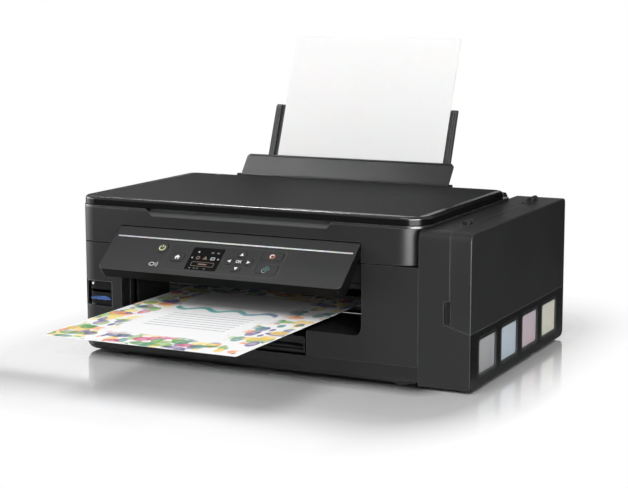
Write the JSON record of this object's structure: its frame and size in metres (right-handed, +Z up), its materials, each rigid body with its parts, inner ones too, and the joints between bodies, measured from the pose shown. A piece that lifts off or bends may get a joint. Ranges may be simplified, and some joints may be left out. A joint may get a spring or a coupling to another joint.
{
  "type": "inkjet printer",
  "caption": "All-in-one inkjet printer with flatbed scanner, tilting control panel, rear sheet feeder and a side ink tank unit with sight windows.",
  "frame": {"origin": "middle of the centre foot's face on the table, under the middle of the case, on the plane of the feet", "axes": "+X to the printer's own right seen from the front (the ink tank side), +Y to the back, +Z up"},
  "size_m": [0.447, 0.5322, 0.328],
  "materials": {
    "case_black": "fine-grained moulded plastic",
    "cover_black": "fine-grained moulded plastic",
    "pan_black": "moulded plastic",
    "guard_grey": "moulded plastic",
    "lid_black": "leather-grained top, polished edge",
    "bezel_black": "polished plastic",
    "panel_grey": "satin plastic",
    "key_grey": "satin plastic with printed signs",
    "trim_silver": "satin metal",
    "gloss_black": "polished plastic",
    "card_blue": "polished plastic",
    "foot_rubber": "rubber",
    "belt_rubber": "rubber",
    "steel": "zinc-plated sheet",
    "shaft_steel": "ground steel",
    "motor_steel": "plated can",
    "roller_black": "gritted coating and rubber",
    "gear_white": "acetal",
    "carriage_black": "moulded plastic",
    "tube_clear": "clear flexible tube",
    "board_green": "laminate with parts",
    "power_box": "moulded box",
    "tank_clear": "frosted translucent plastic with ink inside",
    "glass": "clear glass",
    "scan_bar_black": "moulded plastic",
    "mat_white": "foam pad with a white film",
    "paper_white": "plain paper",
    "paper_print": "paper printed with a coloured border",
    "cap_black": "soft plastic",
    "cap_cyan": "soft plastic",
    "cap_magenta": "soft plastic",
    "cap_yellow": "soft plastic"
  },
  "bodies": {
    "case": {"base_pan": "pan_black", "rubber_feet": "foot_rubber", "main_case": "case_black", "bay_lining": "pan_black", "card_bezel": "gloss_black", "paper_chute": "pan_black", "main_frame": "steel", "carriage_rail": "shaft_steel", "carriage_motor": "motor_steel", "timing_belt": "belt_rubber", "star_wheel_bar": "pan_black", "platen": "pan_black", "feed_motor": "motor_steel", "cap_station": "pan_black", "main_board": "board_green", "power_supply": "power_box", "ink_tubes": "tube_clear", "tank_case": "case_black", "ink_tanks": "tank_clear"},
    "memory_card": {"memory_card": "card_blue"},
    "feeder_guard": {"feeder_guard": "guard_grey"},
    "paper_support": {"paper_support": "pan_black"},
    "edge_guide_left": {"edge_guide_left": "pan_black"},
    "edge_guide_right": {"edge_guide_right": "pan_black"},
    "blank_sheet": {"blank_sheet": "paper_white"},
    "printed_sheet": {"printed_sheet": "paper_print"},
    "output_tray": {"output_tray": "pan_black"},
    "tray_extension": {"tray_extension": "pan_black"},
    "carriage": {"carriage": "carriage_black", "print_head": "carriage_black"},
    "drive_pulley": {"drive_pulley": "gear_white"},
    "idler_pulley": {"idler_pulley": "gear_white"},
    "feed_roller": {"feed_roller": "roller_black"},
    "motor_pinion": {"motor_pinion": "gear_white"},
    "eject_roller": {"eject_roller": "roller_black"},
    "pickup_roller": {"pickup_roller": "roller_black"},
    "panel": {"panel_housing": "panel_grey", "panel_trim": "trim_silver", "lcd_window": "gloss_black"},
    "scanner": {"scanner_housing": "case_black", "scanner_bezel": "bezel_black", "platen_glass": "glass", "scan_rod": "shaft_steel"},
    "scan_carriage": {"scan_carriage": "scan_bar_black"},
    "lid": {"lid_shell": "lid_black", "document_mat": "mat_white"},
    "tank_cover": {"tank_cover": "cover_black"},
    "power_key": {"power_key": "key_grey"},
    "home_key": {"home_key": "key_grey"},
    "up_key": {"up_key": "key_grey"},
    "down_key": {"down_key": "key_grey"},
    "left_key": {"left_key": "key_grey"},
    "right_key": {"right_key": "key_grey"},
    "ok_key": {"ok_key": "key_grey"},
    "stop_key": {"stop_key": "key_grey"},
    "start_key": {"start_key": "key_grey"},
    "tank_cap_black": {"tank_cap_black": "cap_black"},
    "tank_cap_cyan": {"tank_cap_cyan": "cap_cyan"},
    "tank_cap_magenta": {"tank_cap_magenta": "cap_magenta"},
    "tank_cap_yellow": {"tank_cap_yellow": "cap_yellow"}
  },
  "joints": [
    {"name": "card_slide", "type": "slide", "parent": "case", "child": "memory_card", "axis": [0, -1, 0], "range_m": [0, 0.022]},
    {"name": "guard_hinge", "type": "hinge", "parent": "case", "child": "feeder_guard", "pos_m": [0, 0.1012, 0.167], "axis": [1, 0, 0], "range_deg": [0, 30]},
    {"name": "support_slide", "type": "slide", "parent": "case", "child": "paper_support", "axis": [0, -0.3567, -0.9342], "range_m": [0, 0.05]},
    {"name": "guide_left_slide", "type": "slide", "parent": "case", "child": "edge_guide_left", "axis": [1, 0, 0], "range_m": [-0.003, 0]},
    {"name": "guide_right_slide", "type": "slide", "parent": "case", "child": "edge_guide_right", "axis": [1, 0, 0], "range_m": [0, 0.003]},
    {"name": "blank_sheet_lift", "type": "slide", "parent": "case", "child": "blank_sheet", "axis": [0, 0.3567, 0.9342], "range_m": [0, 0.12]},
    {"name": "printed_sheet_slide", "type": "slide", "parent": "case", "child": "printed_sheet", "axis": [0, -1, 0], "range_m": [0, 0.1]},
    {"name": "tray_slide", "type": "slide", "parent": "case", "child": "output_tray", "axis": [0, -1, 0], "range_m": [0, 0.14]},
    {"name": "extension_slide", "type": "slide", "parent": "output_tray", "child": "tray_extension", "axis": [0, -1, 0], "range_m": [0, 0.1]},
    {"name": "carriage_slide", "type": "slide", "parent": "case", "child": "carriage", "axis": [-1, 0, 0], "range_m": [0, 0.296]},
    {"name": "drive_pulley_spin", "type": "hinge", "parent": "case", "child": "drive_pulley", "pos_m": [-0.19, 0.023, 0.1], "axis": [0, 1, 0], "range_deg": [0, 2420]},
    {"name": "idler_pulley_spin", "type": "hinge", "parent": "case", "child": "idler_pulley", "pos_m": [0.15, 0.023, 0.1], "axis": [0, 1, 0], "range_deg": [0, 2420]},
    {"name": "feed_spin", "type": "hinge", "parent": "case", "child": "feed_roller", "pos_m": [0, 0.022, 0.0599], "axis": [1, 0, 0], "continuous": true},
    {"name": "pinion_spin", "type": "hinge", "parent": "case", "child": "motor_pinion", "pos_m": [-0.207, 0.04001, 0.0495], "axis": [1, 0, 0], "continuous": true},
    {"name": "eject_spin", "type": "hinge", "parent": "case", "child": "eject_roller", "pos_m": [0, -0.061, 0.0599], "axis": [1, 0, 0], "continuous": true},
    {"name": "pickup_spin", "type": "hinge", "parent": "case", "child": "pickup_roller", "pos_m": [0, 0.06841, 0.08971], "axis": [1, 0, 0], "continuous": true},
    {"name": "panel_tilt", "type": "hinge", "parent": "case", "child": "panel", "pos_m": [0, -0.148, 0.1384], "axis": [1, 0, 0], "range_deg": [0, 51]},
    {"name": "scanner_hinge", "type": "hinge", "parent": "case", "child": "scanner", "pos_m": [0, 0.094, 0.1538], "axis": [-1, 0, 0], "range_deg": [0, 24]},
    {"name": "scan_slide", "type": "slide", "parent": "scanner", "child": "scan_carriage", "axis": [1, 0, 0], "range_m": [0, 0.25]},
    {"name": "lid_hinge", "type": "hinge", "parent": "scanner", "child": "lid", "pos_m": [0, 0.088, 0.1654], "axis": [-1, 0, 0], "range_deg": [0, 60]},
    {"name": "tank_cover_hinge", "type": "hinge", "parent": "case", "child": "tank_cover", "pos_m": [0.1954, 0, 0.1584], "axis": [0, -1, 0], "range_deg": [0, 95]},
    {"name": "power_key_press", "type": "slide", "parent": "panel", "child": "power_key", "axis": [0, 0.6293, -0.7771], "range_m": [0, 0.0008], "stiffness_N_per_m": 400, "springref_m": -0.0006},
    {"name": "home_key_press", "type": "slide", "parent": "panel", "child": "home_key", "axis": [0, 0.6293, -0.7771], "range_m": [0, 0.0008], "stiffness_N_per_m": 400, "springref_m": -0.0006},
    {"name": "up_key_press", "type": "slide", "parent": "panel", "child": "up_key", "axis": [0, 0.6293, -0.7771], "range_m": [0, 0.0008], "stiffness_N_per_m": 400, "springref_m": -0.0006},
    {"name": "down_key_press", "type": "slide", "parent": "panel", "child": "down_key", "axis": [0, 0.6293, -0.7771], "range_m": [0, 0.0008], "stiffness_N_per_m": 400, "springref_m": -0.0006},
    {"name": "left_key_press", "type": "slide", "parent": "panel", "child": "left_key", "axis": [0, 0.6293, -0.7771], "range_m": [0, 0.0008], "stiffness_N_per_m": 400, "springref_m": -0.0006},
    {"name": "right_key_press", "type": "slide", "parent": "panel", "child": "right_key", "axis": [0, 0.6293, -0.7771], "range_m": [0, 0.0008], "stiffness_N_per_m": 400, "springref_m": -0.0006},
    {"name": "ok_key_press", "type": "slide", "parent": "panel", "child": "ok_key", "axis": [0, 0.6293, -0.7771], "range_m": [0, 0.0008], "stiffness_N_per_m": 400, "springref_m": -0.0006},
    {"name": "stop_key_press", "type": "slide", "parent": "panel", "child": "stop_key", "axis": [0, 0.6293, -0.7771], "range_m": [0, 0.0008], "stiffness_N_per_m": 400, "springref_m": -0.0006},
    {"name": "start_key_press", "type": "slide", "parent": "panel", "child": "start_key", "axis": [0, 0.6293, -0.7771], "range_m": [0, 0.0008], "stiffness_N_per_m": 400, "springref_m": -0.0006},
    {"name": "tank_cap_black_lift", "type": "slide", "parent": "case", "child": "tank_cap_black", "axis": [0, 0, 1], "range_m": [0, 0.016]},
    {"name": "tank_cap_cyan_lift", "type": "slide", "parent": "case", "child": "tank_cap_cyan", "axis": [0, 0, 1], "range_m": [0, 0.016]},
    {"name": "tank_cap_magenta_lift", "type": "slide", "parent": "case", "child": "tank_cap_magenta", "axis": [0, 0, 1], "range_m": [0, 0.016]},
    {"name": "tank_cap_yellow_lift", "type": "slide", "parent": "case", "child": "tank_cap_yellow", "axis": [0, 0, 1], "range_m": [0, 0.016]}
  ],
  "couplings": [
    {"joint": "guide_right_slide", "follows": "guide_left_slide", "ratio": -1},
    {"joint": "drive_pulley_spin", "follows": "carriage_slide", "rad_per_m": 141.84},
    {"joint": "idler_pulley_spin", "follows": "carriage_slide", "rad_per_m": 141.84},
    {"joint": "pinion_spin", "follows": "feed_spin", "ratio": -3.3333},
    {"joint": "eject_spin", "follows": "feed_spin", "ratio": 1}
  ]
}
